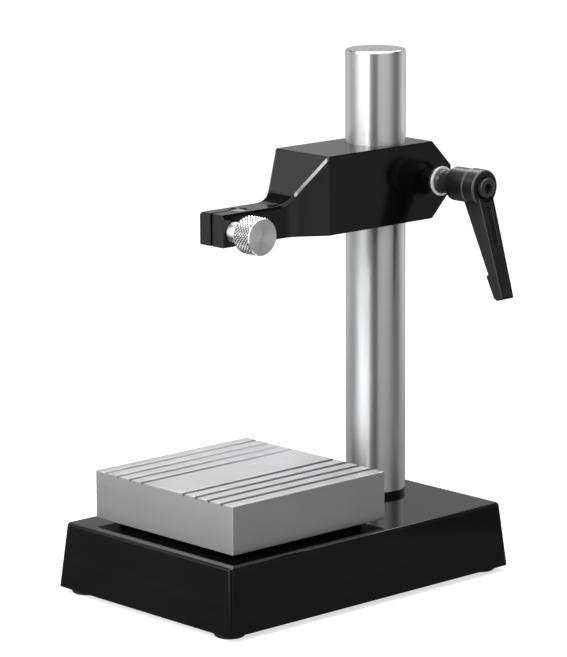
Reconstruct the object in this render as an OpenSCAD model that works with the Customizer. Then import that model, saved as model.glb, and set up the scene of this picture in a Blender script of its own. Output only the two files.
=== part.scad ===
// Stand for a dial indicator: a cast base on rubber feet, a grooved measuring table, a round column, and
// a split arm that slides and turns on the column and clamps the indicator's stem over the table.
// Millimetres, +Z up. The front of the stand faces -Y and the clamp lever +X. The origin is on the surface
// that the feet stand on, under the middle of the base.

/* [Base] */
// Width of the base casting at its top edge
base_w = 121; // [112:1:140]
// Length of the base casting at its top edge, front to back
base_l = 182; // [174:1:210]
// Height of the base casting, without its feet and seats
base_h = 32.5; // [30:0.5:42]
// How far each side of the base leans out from its top to its bottom
base_draft = 2.9; // [1:0.1:5]
// Radius of the base's upright corners
base_corner_r = 2.2; // [1.5:0.1:8]
// Radius of the base's top edge
base_edge_r = 1.3; // [0.5:0.1:3]
// Thickness of the base's side walls at the top
base_wall = 9; // [7:0.5:11]
// Thickness of the base's top plate
base_plate = 11; // [9:0.5:13]
// Height of the machined seats under the table and the column
seat_h = 2.3; // [1:0.1:4]

/* [Feet] */
// Diameter of a rubber foot
foot_d = 15; // [12:0.5:18]
// How far a foot stands out below the base
foot_h = 2.5; // [2:0.25:5]
// Depth of the pocket that holds a foot
foot_pocket = 4; // [3:0.25:6]
// Between a foot's side and the base's bottom edge at the left and right
foot_side_gap = 3.6; // [1.5:0.1:6]
// Between a foot's side and the base's bottom edge at the front and back
foot_end_gap = 1.8; // [1.5:0.1:6]
// Radius of a foot's rounded lower edge
foot_edge_r = 1.2; // [0.5:0.1:1.8]
// Thread diameter of the screws that hold the feet
foot_screw_d = 4; // [3:0.5:5]

/* [Table] */
// Width of the measuring table
table_w = 100; // [90:1:104]
// Length of the measuring table, front to back
table_l = 100; // [90:1:104]
// Thickness of the measuring table
table_h = 24; // [20:0.5:30]
// From the base's front top edge to the middle of the table
table_front = 61; // [57:0.5:64]
// How far the seat under the table stands back from the table's edge
table_seat_inset = 8; // [4:0.5:10]
// Bevel along the table's edges
table_bevel = 0.5; // [0.2:0.1:1.5]
// Width of a groove at the table's top
groove_w = 3; // [1.5:0.1:4]
// Distance from one groove to the next
groove_pitch = 9; // [7:0.25:10]
// From the middle of the table to the first groove on each side
groove_first = 15; // [10:0.5:18]
// Grooves on each side of the table's middle
groove_count = 4; // [1:1:4]
// Thread diameter of the screws that hold the table
table_screw_d = 6; // [5:0.5:8]
// From the table's edge to the middle of those screws
table_screw_inset = 18; // [16:0.5:24]
// Length of table screw thread inside the table
table_screw_bite = 12; // [8:0.5:14]

/* [Column] */
// Diameter of the column
column_d = 30; // [25:0.5:34]
// Height of the column above its seat
column_h = 223; // [190:1:300]
// From the middle of the table to the column's axis, front to back
column_reach = 92.5; // [88:0.5:96]
// Bevel round the column's top edge
column_bevel = 1.5; // [0.5:0.1:3]
// How far the seat under the column stands back from the column's side
column_seat_inset = 0.1; // [0:0.1:2]
// Thread diameter of the bolt that holds the column
column_bolt_d = 12; // [10:0.5:14]
// Length of column bolt thread inside the column
column_bolt_bite = 22; // [15:1:40]
// Thickness of the base between its top and the column bolt's washer
column_web = 15.1; // [12:0.1:15.5]

/* [Arm] */
// Height of the arm's underside above the table
arm_over_table = 113.5; // [60:0.5:140]
// Height of the arm's block round the column
arm_h = 39; // [34:0.5:46]
// Wall of the arm on each side of the guide bush
arm_wall = 2.9; // [2:0.1:6]
// From the column's axis to the front of the full-size block
arm_front = 50; // [40:0.5:56]
// Horizontal length of the slope from the block down to the nose
arm_slope_run = 17.8; // [12:0.2:22]
// Length along the arm of the taper from the block's sides to the nose's
arm_taper_run = 15.8; // [10:0.2:22]
// Bevel at the block's back end, top and bottom
arm_back_bevel = 13; // [6:0.5:14]
// Bevel along the arm's long edges
arm_edge = 1; // [0.4:0.1:1.6]
// Bevel along the slope's two edges
arm_slope_edge = 1.5; // [0.5:0.1:2]
// Width of the slits that let the arm close on the column and the stem
slit_w = 1.6; // [1:0.1:2.5]
// Lip at each end of the column bore that keeps the guide bush in
bush_lip = 3; // [2:0.25:5]
// Wall of the guide bush
bush_t = 1.2; // [0.8:0.1:2]

/* [Nose] */
// Diameter of the indicator stem bore
stem_d = 8; // [6:0.1:10]
// Wall of the nose on each side of the stem bore
nose_wall = 4.5; // [3.5:0.1:6]
// Height of the nose
nose_h = 16; // [14:0.5:20]
// Radius where the slope and the taper run into the nose
nose_fillet_r = 13; // [3:0.5:16]
// Bevel along the nose's two upper edges
nose_edge = 1.4; // [0.4:0.1:2]
// Bevel at each mouth of the stem bore
stem_bevel = 0.8; // [0.2:0.1:1.2]
// Wall between the stem bore and the thumb screw's hole
thumb_web = 3.8; // [2:0.1:6]
// Wall between the thumb screw's hole and the nose's end
nose_end_wall = 3.9; // [2.5:0.1:6]

/* [Thumb screw] */
// Thread diameter of the thumb screw
thumb_d = 5; // [4:0.5:6]
// Height of the thumb screw's axis above the arm's underside
thumb_z = 7.3; // [6:0.1:9]
// Diameter of the thumb screw's neck
thumb_neck_d = 10; // [8:0.5:12]
// Length of the thumb screw's neck
thumb_neck_l = 9.5; // [5:0.5:14]
// Diameter of the knurled head
thumb_head_d = 18.7; // [14:0.1:22]
// Length of the knurled head
thumb_head_l = 11; // [8:0.5:15]
// Bevel at each end of the knurled head
thumb_bevel = 0.6; // [0.3:0.1:1.5]
// How far the thumb screw's end stops short of the nose's far side
thumb_short = 1; // [0.5:0.1:3]

/* [Clamp lever] */
// Thread diameter of the clamp stud
stud_d = 8; // [6:0.5:10]
// Height of the lever's axis above the arm's underside
stud_z = 18.4; // [16:0.1:22]
// Wall between the column bore and the stud's hole
stud_web = 5.9; // [4:0.1:8]
// Wall between the stud's hole and the arm's back end
stud_end_wall = 2.8; // [2:0.1:6]
// How far the stud's end stops short of the arm's far side
stud_short = 2; // [0.5:0.1:5]
// Diameter of the bright washer
washer_d = 14.8; // [13:0.1:18]
// Thickness of the bright washer
washer_t = 1.2; // [0.8:0.1:2]
// Diameter of the insert's neck
neck_d = 11.2; // [11:0.1:13]
// Length of the neck that shows between the washer and the lever
neck_l = 7.2; // [5:0.2:10]
// How far the neck's foot stands out on the washer
neck_foot = 0.6; // [0.2:0.1:1]
// Length of the neck's foot
neck_foot_l = 2.4; // [1:0.2:4]
// Depth of the neck inside the lever
neck_depth = 3.4; // [2:0.2:5]
// Length of the meshing serrations
serration_l = 3.6; // [2.5:0.1:4]
// Teeth round the serrations
serration_count = 20; // [12:1:30]
// Depth of a serration's tooth
serration_depth = 0.6; // [0.4:0.05:0.8]
// How far the lever lifts past its serrations
lift_spare = 0.4; // [0.2:0.1:1]
// Diameter of the lever's hub behind its head
hub_d = 17; // [16:0.1:20]
// Diameter of the lever's head
head_d = 18; // [17.5:0.1:22]
// Length of the hub, from its inner end to the head
hub_l = 13.8; // [10:0.2:18]
// Length of the cone at the hub's inner end
hub_cone_l = 2.9; // [1:0.1:5]
// Wall of the hub at its inner end
hub_mouth_wall = 0.7; // [0.4:0.1:1.5]
// Length of the head
head_l = 8.6; // [6:0.2:12]
// Rounded front edge of the head
head_edge_r = 1; // [0.5:0.1:2]
// Thread diameter of the lever's keeper screw
keeper_d = 6; // [5:0.5:6]
// Wall of the web that the keeper screw's spring pushes on
keeper_web = 3; // [2:0.1:4]
// Length of keeper screw thread inside the insert
keeper_bite = 10; // [6:0.5:11]
// How far the lever's front face starts behind the head's front
lever_setback = 0.6; // [0:0.1:1.5]
// Length of the lever, from its axis to its tip
lever_l = 56; // [48:1:80]
// Angle of the lever's front face out from upright
lever_tilt = 17.5; // [0:0.5:25]
// Width of the lever at its hub
lever_w_hub = 10.8; // [8:0.1:12]
// Width of the lever at its tip
lever_w_tip = 8.8; // [6:0.1:12]
// Thickness of the lever at its hub
lever_t_hub = 11.2; // [8:0.1:14]
// Thickness of the lever at its tip, without the finger pad
lever_t_tip = 4; // [3:0.1:8]
// Length of the finger pad at the lever's tip
pad_l = 13.5; // [8:0.5:20]
// Thickness of the finger pad
pad_t = 1.6; // [0.5:0.1:2]
// Width of the long recess in the lever's front face
recess_w = 3.4; // [2:0.1:5]
// Depth of that recess
recess_t = 1.1; // [0.3:0.1:1.2]
// How far the recess lies from the lever's middle, toward the back
recess_side = 0.2; // [-1.5:0.1:1.5]
// From the lever's axis to the recess's upper end
recess_start = 9.5; // [9:0.5:14]
// Length of the recess
recess_l = 19.5; // [10:0.5:26]

/* [Fits] */
// Radial clearance of pieces that run or slide on each other
run_gap = 0.05; // [0.03:0.01:0.09]
// Radial clearance of screws in their threads and feet in their pockets
set_gap = 0.1; // [0.05:0.05:0.2]
// Radial clearance of screws in plain holes
hole_gap = 0.5; // [0.3:0.1:0.8]
// Depth of a tapped hole past the end of its screw
thread_spare = 2; // [1:0.5:3]
// Clearance of the arm's lips round the column, and of meshing serrations
free_gap = 0.3; // [0.2:0.05:0.5]

/* [Hidden] */
$fn = 96;
// Overlap that lets a cut run past the face it leaves
past = 1;

base_z = foot_h;
base_top = base_z + base_h;
seat_top = base_top + seat_h;
ceiling_z = base_top - base_plate;
table_y = table_front - base_l / 2;
column_y = table_y + column_reach;
table_top = seat_top + table_h;
base_edge = min(base_edge_r, 0.9 * base_corner_r);

foot_x = base_w / 2 + base_draft - foot_side_gap - foot_d / 2;
foot_y = base_l / 2 + base_draft - foot_end_gap - foot_d / 2;
foot_top = base_z + foot_pocket;
foot_head_d = 1.75 * foot_screw_d;
foot_head_h = 0.6 * foot_screw_d;
foot_washer_d = 2.25 * foot_screw_d;
foot_washer_t = 0.2 * foot_screw_d;
// The foot screw's head stays this far above the surface that the foot stands on
foot_head_z = 0.9;
foot_washer_z = foot_head_z + foot_head_h;
foot_screw_bite = 2.5 * foot_screw_d;
foot_boss_wall = 3;
foot_boss_half = foot_d / 2 + foot_boss_wall;

table_head_d = 1.67 * table_screw_d;
table_washer_d = 2 * table_screw_d;
table_washer_t = 0.25 * table_screw_d;

column_head_d = 1.5 * column_bolt_d;
column_washer_d = 2 * column_bolt_d;
column_washer_t = 0.2 * column_bolt_d;
column_boss_wall = 8;
column_boss_half = column_washer_d / 2 + column_boss_wall;
column_seat_z = base_top - column_web;
// The bolt's head sits as deep in the boss as it is tall, with its washer above it
column_boss_z = column_seat_z - column_washer_t - column_bolt_d;

arm_z = table_top + arm_over_table;
bush_r = column_d / 2 + run_gap + bush_t;
arm_bore_r = bush_r + run_gap;
lip_r = column_d / 2 + free_gap;
arm_half = arm_bore_r + arm_wall;
nose_half = stem_d / 2 + nose_wall;
thumb_hole_r = thumb_d / 2 + hole_gap / 2;
thumb_y = -column_reach - stem_d / 2 - thumb_web - thumb_hole_r;
nose_y = thumb_y - thumb_hole_r - nose_end_wall;
slope_top_y = -arm_front;
slope_foot_y = slope_top_y - arm_slope_run;
slope_angle = atan2(arm_h - nose_h, arm_slope_run);
taper_foot_y = slope_top_y - arm_taper_run;
taper_angle = atan2(arm_half - nose_half, arm_taper_run);
stud_hole_r = stud_d / 2 + hole_gap;
stud_y = arm_bore_r + stud_web + stud_hole_r;
arm_back_y = stud_y + stud_hole_r + stud_end_wall;

neck_end = washer_t + neck_l + neck_depth;
serration_end = neck_end + serration_l;
serration_r = neck_d / 2 - serration_depth;
hub_start = washer_t + neck_l;
head_start = hub_start + hub_l;
head_end = head_start + head_l;
web_start = serration_end + free_gap;
web_end = web_start + keeper_web;
keeper_head_d = 1.67 * keeper_d;
keeper_bore_r = keeper_head_d / 2 + hole_gap;
spring_wire = 0.15 * keeper_d;
lever_lift = serration_l + lift_spare;
// The spring is longer than the lift by the stack of its closed turns
spring_turns = 3.5;
spring_l = lever_lift + (spring_turns + 1.2) * spring_wire;
keeper_seat = web_end + spring_l;
lever_front_x = head_end - lever_setback;

// Shapes that repeat

// Socket-head screw, head down at z = 0 and thread upwards, with its hex socket in the head
module cap_screw(d, head_d, head_h, length) {
    socket_d = 0.9 * d;
    socket_depth = 0.5 * head_h;
    bevel = 0.06 * head_d;
    difference() {
        rotate_extrude()
            polygon([
                [0, -head_h], [head_d / 2 - bevel, -head_h], [head_d / 2, -head_h + bevel],
                [head_d / 2, 0], [d / 2, 0], [d / 2, length - d / 8], [d / 2 - d / 8, length], [0, length]
            ]);
        translate([0, 0, -head_h - past])
            cylinder(d = socket_d, h = socket_depth + past, $fn = 6);
    }
}

// Flat washer standing on z = 0
module flat_washer(outer_d, inner_d, thickness) {
    difference() {
        cylinder(d = outer_d, h = thickness);
        translate([0, 0, -past])
            cylinder(d = inner_d, h = thickness + 2 * past);
    }
}

// Children at the four corners of a rectangle about the origin
module at_corners(x, y) {
    for (sx = [-1, 1], sy = [-1, 1])
        translate([sx * x, sy * y, 0])
            children();
}

// Turns what stands along +Z to lie along +X
module along_x() {
    rotate([0, 90, 0])
        children();
}

// Diamond bar from one point to another, used to bevel the edge between them
module edge_bar(from, to, reach) {
    step = to - from;
    length = norm(step);
    overrun = 0.15;
    translate(from)
        rotate([0, acos(step.z / length), atan2(step.y, step.x)])
            translate([0, 0, -overrun])
                linear_extrude(length + 2 * overrun)
                    circle(r = reach, $fn = 4);
}

// Bevels a run of edges on both sides of the arm
module edge_run(points, reach) {
    for (side = [0, 1], i = [0 : len(points) - 2])
        mirror([side, 0, 0])
            edge_bar(points[i], points[i + 1], reach);
}

// Base

// Outside of the base: its sides lean out, its corners keep one radius and its top edge is rounded
module base_block() {
    top_x = base_w / 2 - base_corner_r;
    top_y = base_l / 2 - base_corner_r;
    rim = 0.01;
    hull() {
        at_corners(top_x + base_draft, top_y + base_draft)
            cylinder(r = base_corner_r, h = rim, $fn = 32);
        at_corners(top_x, top_y)
            translate([0, 0, base_h - base_edge])
                rotate_extrude($fn = 32)
                    intersection() {
                        translate([base_corner_r - base_edge, 0])
                            circle(base_edge, $fn = 32);
                        square(base_corner_r);
                    }
    }
}

// Hollow under the base, round the square bosses of the feet and the column
module base_hollow() {
    difference() {
        translate([base_wall - base_w / 2, base_wall - base_l / 2, base_z - past])
            cube([base_w - 2 * base_wall, base_l - 2 * base_wall, ceiling_z - base_z + past]);
        linear_extrude(base_top)
            at_corners(foot_x, foot_y)
                square(2 * foot_boss_half, center = true);
        translate([0, column_y, column_boss_z])
            linear_extrude(base_h)
                square(2 * column_boss_half, center = true);
    }
}

module base() {
    color("#1b1b1d")
        difference() {
            union() {
                translate([0, 0, base_z])
                    base_block();
                translate([0, table_y, base_top - past])
                    linear_extrude(seat_h + past)
                        square([table_w, table_l] - 2 * table_seat_inset * [1, 1], center = true);
                translate([0, column_y, base_top - past])
                    cylinder(r = column_d / 2 - column_seat_inset, h = seat_h + past);
            }
            base_hollow();
            at_corners(foot_x, foot_y) {
                cylinder(r = foot_d / 2 + set_gap, h = foot_top);
                cylinder(r = foot_screw_d / 2 + set_gap, h = foot_top + foot_screw_bite + thread_spare);
            }
            translate([0, table_y, 0])
                at_corners(table_w / 2 - table_screw_inset, table_l / 2 - table_screw_inset)
                    cylinder(r = table_screw_d / 2 + hole_gap, h = seat_top + past);
            translate([0, column_y, 0]) {
                cylinder(r = column_bolt_d / 2 + hole_gap, h = seat_top + past);
                cylinder(r = column_washer_d / 2 + hole_gap, h = column_seat_z);
            }
        }
}

// Feet

module foot() {
    color("#232325")
        difference() {
            rotate_extrude() {
                translate([0, foot_edge_r])
                    square([foot_d / 2, foot_top - foot_edge_r]);
                square([foot_d / 2 - foot_edge_r, foot_edge_r]);
                translate([foot_d / 2 - foot_edge_r, foot_edge_r])
                    circle(foot_edge_r);
            }
            translate([0, 0, -past])
                cylinder(r = foot_screw_d / 2 + set_gap, h = foot_top + 2 * past);
            translate([0, 0, -past])
                cylinder(r = foot_washer_d / 2 + set_gap, h = past + foot_washer_z + foot_washer_t);
        }
}

module foot_front_left() {
    translate([-foot_x, -foot_y, 0])
        foot();
}

module foot_front_right() {
    translate([foot_x, -foot_y, 0])
        foot();
}

module foot_rear_left() {
    translate([-foot_x, foot_y, 0])
        foot();
}

module foot_rear_right() {
    translate([foot_x, foot_y, 0])
        foot();
}

module foot_screws() {
    color("#8d8f92")
        at_corners(foot_x, foot_y)
            translate([0, 0, foot_washer_z])
                cap_screw(
                    foot_screw_d, foot_head_d, foot_head_h, foot_top - foot_washer_z + foot_screw_bite
                );
}

module foot_washers() {
    color("#9a9c9f")
        at_corners(foot_x, foot_y)
            translate([0, 0, foot_washer_z])
                flat_washer(foot_washer_d, foot_screw_d + 2 * set_gap, foot_washer_t);
}

// Table

module table() {
    groove_depth = groove_w / 2;
    color("#b3b5b7")
        translate([0, table_y, 0])
            difference() {
                translate([0, 0, seat_top + table_h / 2])
                    table_block();
                for (side = [-1, 1], i = [0 : groove_count - 1])
                    translate([side * (groove_first + i * groove_pitch), 0, table_top])
                        rotate([90, 0, 0])
                            linear_extrude(table_l + 2 * past, center = true)
                                circle(r = groove_depth, $fn = 4);
                at_corners(table_w / 2 - table_screw_inset, table_l / 2 - table_screw_inset)
                    translate([0, 0, seat_top - past])
                        cylinder(r = table_screw_d / 2 + set_gap, h = past + table_screw_bite + thread_spare);
            }
}

// Block with all its edges bevelled, where three bars cross
module table_block() {
    intersection() {
        bevelled_bar(table_w, table_l, table_h);
        rotate([90, 0, 0])
            bevelled_bar(table_w, table_h, table_l);
        rotate([0, 90, 0])
            bevelled_bar(table_h, table_l, table_w);
    }
}

// Bar along Z whose long edges are bevelled
module bevelled_bar(x, y, length) {
    linear_extrude(length, center = true)
        intersection() {
            square([x, y], center = true);
            circle(r = (x + y) / 2 - table_bevel, $fn = 4);
        }
}

module table_screws() {
    head_z = ceiling_z - table_washer_t;
    color("#2a2a2c")
        translate([0, table_y, head_z])
            at_corners(table_w / 2 - table_screw_inset, table_l / 2 - table_screw_inset)
                cap_screw(table_screw_d, table_head_d, table_screw_d, seat_top - head_z + table_screw_bite);
}

module table_washers() {
    color("#9a9c9f")
        translate([0, table_y, ceiling_z - table_washer_t])
            at_corners(table_w / 2 - table_screw_inset, table_l / 2 - table_screw_inset)
                flat_washer(table_washer_d, table_screw_d + 2 * set_gap, table_washer_t);
}

// Column

module column() {
    foot_bevel = 0.3 * column_bevel;
    color("#c9cbcd")
        translate([0, column_y, seat_top])
            difference() {
                rotate_extrude()
                    polygon([
                        [0, 0], [column_d / 2 - foot_bevel, 0], [column_d / 2, foot_bevel],
                        [column_d / 2, column_h - column_bevel], [column_d / 2 - column_bevel, column_h],
                        [0, column_h]
                    ]);
                translate([0, 0, -past])
                    cylinder(r = column_bolt_d / 2 + set_gap, h = past + column_bolt_bite + thread_spare);
            }
}

module column_bolt() {
    head_z = column_seat_z - column_washer_t;
    color("#2a2a2c")
        translate([0, column_y, head_z])
            cap_screw(column_bolt_d, column_head_d, column_bolt_d, seat_top - head_z + column_bolt_bite);
}

module column_washer() {
    color("#9a9c9f")
        translate([0, column_y, column_seat_z - column_washer_t])
            flat_washer(column_washer_d, column_bolt_d + 2 * set_gap, column_washer_t);
}

// Arm, drawn with the column's axis at x = y = 0 and its underside at z = 0

module at_arm() {
    translate([0, column_y, arm_z])
        children();
}

// Outline of the arm from the side, as y and z
module arm_side() {
    tangent = nose_fillet_r * tan(slope_angle / 2);
    centre = [slope_foot_y - tangent, nose_h + nose_fillet_r];
    polygon([
        [nose_y, 0], [arm_back_y - arm_back_bevel, 0], [arm_back_y, arm_back_bevel],
        [arm_back_y, arm_h - arm_back_bevel], [arm_back_y - arm_back_bevel, arm_h],
        [slope_top_y, arm_h], [slope_foot_y, nose_h], [nose_y, nose_h]
    ]);
    difference() {
        polygon([
            [slope_foot_y - tangent, nose_h], [slope_foot_y, nose_h - past],
            [slope_foot_y + tangent * cos(slope_angle), nose_h + tangent * sin(slope_angle)], centre
        ]);
        translate(centre)
            circle(nose_fillet_r);
    }
}

// Outline of one half of the arm from above
module arm_plan_half() {
    tangent = nose_fillet_r * tan(taper_angle / 2);
    centre = [nose_half + nose_fillet_r, taper_foot_y - tangent];
    polygon([
        [0, nose_y], [nose_half, nose_y], [nose_half, taper_foot_y], [arm_half, slope_top_y],
        [arm_half, arm_back_y], [0, arm_back_y]
    ]);
    difference() {
        polygon([
            [nose_half, taper_foot_y - tangent], centre,
            [nose_half + tangent * sin(taper_angle), taper_foot_y + tangent * cos(taper_angle)],
            [nose_half - past, taper_foot_y]
        ]);
        translate(centre)
            circle(nose_fillet_r);
    }
}

// Height of the arm's top at a place along it
function arm_top_at(y) =
    let (tangent = nose_fillet_r * tan(slope_angle / 2), from_centre = y - slope_foot_y + tangent)
        y <= slope_foot_y - tangent ? nose_h
        : y >= slope_top_y ? arm_h
        : y >= slope_foot_y + tangent * cos(slope_angle) ? nose_h + (y - slope_foot_y) * tan(slope_angle)
        : nose_h + nose_fillet_r - sqrt(nose_fillet_r ^ 2 - from_centre ^ 2);

// Half width of the arm at a place along it
function arm_half_at(y) =
    let (tangent = nose_fillet_r * tan(taper_angle / 2), from_centre = y - taper_foot_y + tangent)
        y <= taper_foot_y - tangent ? nose_half
        : y >= slope_top_y ? arm_half
        : y >= taper_foot_y + tangent * cos(taper_angle) ? nose_half + (y - taper_foot_y) * tan(taper_angle)
        : nose_half + nose_fillet_r - sqrt(nose_fillet_r ^ 2 - from_centre ^ 2);

// Bevels along the arm's upper and lower long edges
module arm_edges() {
    slope_tangent = nose_fillet_r * tan(slope_angle / 2);
    taper_tangent = nose_fillet_r * tan(taper_angle / 2);
    curve_start = min(slope_foot_y - slope_tangent, taper_foot_y - taper_tangent);
    curve_end = max(
        slope_foot_y + slope_tangent * cos(slope_angle), taper_foot_y + taper_tangent * cos(taper_angle)
    );
    curve_steps = 10;
    curve = [for (i = [0 : curve_steps]) curve_start + (curve_end - curve_start) * i / curve_steps];
    back = arm_back_y - arm_back_bevel;
    // The slope meets the tapered side at a blunt angle, so its bar is smaller than its bevel
    blunt = acos(-sin(slope_angle) * sin(taper_angle));
    slope_reach = sqrt(2) * arm_slope_edge * cos(blunt / 2);
    nose_run = [[nose_half, nose_y - past, nose_h], [nose_half, curve_start, nose_h]];
    slope_run = concat(
        [for (y = curve) [arm_half_at(y), y, arm_top_at(y)]], [[arm_half, slope_top_y, arm_h]]
    );
    top_run = [[arm_half, slope_top_y, arm_h], [arm_half, back, arm_h]];
    bottom_run = concat(
        [[nose_half, nose_y - past, 0]], [for (y = curve) [arm_half_at(y), y, 0]],
        [[arm_half, slope_top_y, 0], [arm_half, back, 0]]
    );
    edge_run(nose_run, nose_edge);
    edge_run(slope_run, slope_reach);
    edge_run(top_run, arm_edge);
    edge_run(bottom_run, arm_edge);
}

module arm() {
    color("#1d1d1f")
        at_arm()
            difference() {
                intersection() {
                    rotate([90, 0, 90])
                        linear_extrude(2 * arm_half, center = true)
                            arm_side();
                    linear_extrude(arm_h)
                        for (side = [0, 1])
                            mirror([side, 0, 0])
                                arm_plan_half();
                }
                arm_edges();
                // Column bore, wider between its lips, and its slit
                translate([0, 0, -past])
                    cylinder(r = lip_r, h = arm_h + 2 * past);
                translate([0, 0, bush_lip])
                    cylinder(r = arm_bore_r, h = arm_h - 2 * bush_lip);
                translate([-slit_w / 2, 0, -past])
                    cube([slit_w, arm_back_y + past, arm_h + 2 * past]);
                // Stem bore and its slit
                translate([0, -column_reach, 0]) {
                    translate([0, 0, -past])
                        cylinder(d = stem_d, h = nose_h + 2 * past);
                    for (end = [0, nose_h])
                        translate([0, 0, end])
                            rotate_extrude()
                                translate([stem_d / 2, 0])
                                    circle(r = stem_bevel, $fn = 4);
                    translate([-slit_w / 2, nose_y + column_reach - past, -past])
                        cube([slit_w, -nose_y - column_reach + past, nose_h + 2 * past]);
                }
                // Thumb screw: plain hole on the near side of the slit, thread on the far side
                translate([-nose_half - past, thumb_y, thumb_z])
                    along_x()
                        cylinder(r = thumb_d / 2 + run_gap, h = 2 * (nose_half + past));
                translate([0, thumb_y, thumb_z])
                    along_x()
                        cylinder(r = thumb_hole_r, h = nose_half + past);
                // Clamp stud, the same way
                translate([-arm_half - past, stud_y, stud_z])
                    along_x()
                        cylinder(r = stud_d / 2 + run_gap, h = 2 * (arm_half + past));
                translate([0, stud_y, stud_z])
                    along_x()
                        cylinder(r = stud_hole_r, h = arm_half + past);
            }
}

module guide_bush() {
    bush_h = arm_h - 2 * bush_lip - 2 * set_gap;
    color("#8f7a4a")
        at_arm()
            translate([0, 0, bush_lip + set_gap])
                difference() {
                    cylinder(r = bush_r, h = bush_h);
                    translate([0, 0, -past])
                        cylinder(r = column_d / 2 + run_gap, h = bush_h + 2 * past);
                    translate([-slit_w / 2, 0, -past])
                        cube([slit_w, bush_r + past, bush_h + 2 * past]);
                }
}

// Thumb screw

module thumb_screw() {
    neck_end_x = thumb_neck_l;
    head_end_x = thumb_neck_l + thumb_head_l;
    head_r = thumb_head_d / 2;
    tip = thumb_short - 2 * nose_half;
    color("#c4c5c7")
        at_arm()
            translate([nose_half, thumb_y, thumb_z])
                along_x()
                    rotate_extrude()
                        polygon([
                            [0, tip], [thumb_d / 2 - thumb_bevel / 2, tip],
                            [thumb_d / 2, tip + thumb_bevel / 2], [thumb_d / 2, 0], [thumb_neck_d / 2, 0],
                            [thumb_neck_d / 2, neck_end_x], [head_r - thumb_bevel, neck_end_x],
                            [head_r, neck_end_x + thumb_bevel], [head_r, head_end_x - thumb_bevel],
                            [head_r - thumb_bevel, head_end_x], [0, head_end_x]
                        ]);
}

// Clamp lever, drawn along +X from the arm's side

module at_lever() {
    at_arm()
        translate([arm_half, stud_y, stud_z])
            children();
}

module clamp_washer() {
    color("#d4d5d6")
        at_lever()
            along_x()
                flat_washer(washer_d, stud_d + 2 * hole_gap, washer_t);
}

// Star outline of the serrations
module serrations(outer_r) {
    half_tooth = 180 / serration_count;
    polygon([
        for (i = [0 : 2 * serration_count - 1])
            (outer_r - (i % 2) * serration_depth) * [cos(i * half_tooth), sin(i * half_tooth)]
    ]);
}

module clamp_insert() {
    stud_end = stud_short - 2 * arm_half;
    stud_bevel = stud_d / 8;
    thread_start = serration_end - keeper_bite - thread_spare;
    color("#29292b")
        at_lever()
            along_x()
                difference() {
                    union() {
                        rotate_extrude()
                            polygon([
                                [0, stud_end], [stud_d / 2 - stud_bevel, stud_end],
                                [stud_d / 2, stud_end + stud_bevel], [stud_d / 2, washer_t],
                                [neck_d / 2 + neck_foot, washer_t],
                                [neck_d / 2 + neck_foot, washer_t + neck_foot],
                                [neck_d / 2, washer_t + neck_foot_l], [neck_d / 2, neck_end], [0, neck_end]
                            ]);
                        translate([0, 0, neck_end - past])
                            linear_extrude(serration_l + past)
                                serrations(serration_r);
                    }
                    translate([0, 0, thread_start])
                        cylinder(r = keeper_d / 2 + set_gap, h = serration_end);
                }
}

// Lever's arm as an outline from the side: distance down the lever and in from its front face
module lever_side() {
    pad_start = lever_l - pad_l;
    taper = (lever_t_hub - lever_t_tip) / lever_l;
    tip_bevel = 0.4 * lever_t_tip;
    polygon([
        [0, 0], [lever_l - tip_bevel / 2, 0], [lever_l, tip_bevel / 2],
        [lever_l, lever_t_tip + pad_t - tip_bevel], [lever_l - tip_bevel, lever_t_tip + pad_t],
        [pad_start, lever_t_hub - taper * pad_start + pad_t], [pad_start, lever_t_hub - taper * pad_start],
        [0, lever_t_hub]
    ]);
}

module lever_arm() {
    translate([lever_front_x, 0, 0])
        rotate([0, -lever_tilt, 0])
            difference() {
                intersection() {
                    rotate([90, 90, 0])
                        linear_extrude(lever_w_hub + lever_w_tip, center = true)
                            mirror([0, 1])
                                lever_side();
                    rotate([0, 90, 0])
                        linear_extrude(4 * lever_t_hub, center = true)
                            polygon([
                                [0, -lever_w_hub / 2], [lever_l + past, -lever_w_tip / 2],
                                [lever_l + past, lever_w_tip / 2], [0, lever_w_hub / 2]
                            ]);
                }
                translate([-recess_t, recess_side - recess_w / 2, -recess_start - recess_l])
                    cube([recess_t + past, recess_w, recess_l]);
            }
}

module lever_handle() {
    color("#222224")
        at_lever()
            difference() {
                union() {
                    along_x()
                        rotate_extrude()
                            polygon([
                                [0, hub_start], [neck_d / 2 + hub_mouth_wall, hub_start],
                                [hub_d / 2, hub_start + hub_cone_l], [hub_d / 2, head_start],
                                [head_d / 2, head_start], [head_d / 2, head_end - head_edge_r],
                                [head_d / 2 - head_edge_r, head_end], [0, head_end]
                            ]);
                    lever_arm();
                }
                along_x() {
                    cylinder(r = neck_d / 2 + run_gap, h = neck_end);
                    translate([0, 0, neck_end - past])
                        linear_extrude(serration_l + free_gap + past)
                            serrations(serration_r + free_gap / 2);
                    cylinder(r = keeper_d / 2 + hole_gap / 2, h = web_end + past);
                    translate([0, 0, web_end])
                        cylinder(r = keeper_bore_r, h = head_end);
                }
            }
}

module lever_screw() {
    length = keeper_seat - serration_end + keeper_bite;
    color("#303032")
        at_lever()
            translate([keeper_seat, 0, 0])
                rotate([0, -90, 0])
                    cap_screw(keeper_d, keeper_head_d, keeper_d, length);
}

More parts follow.
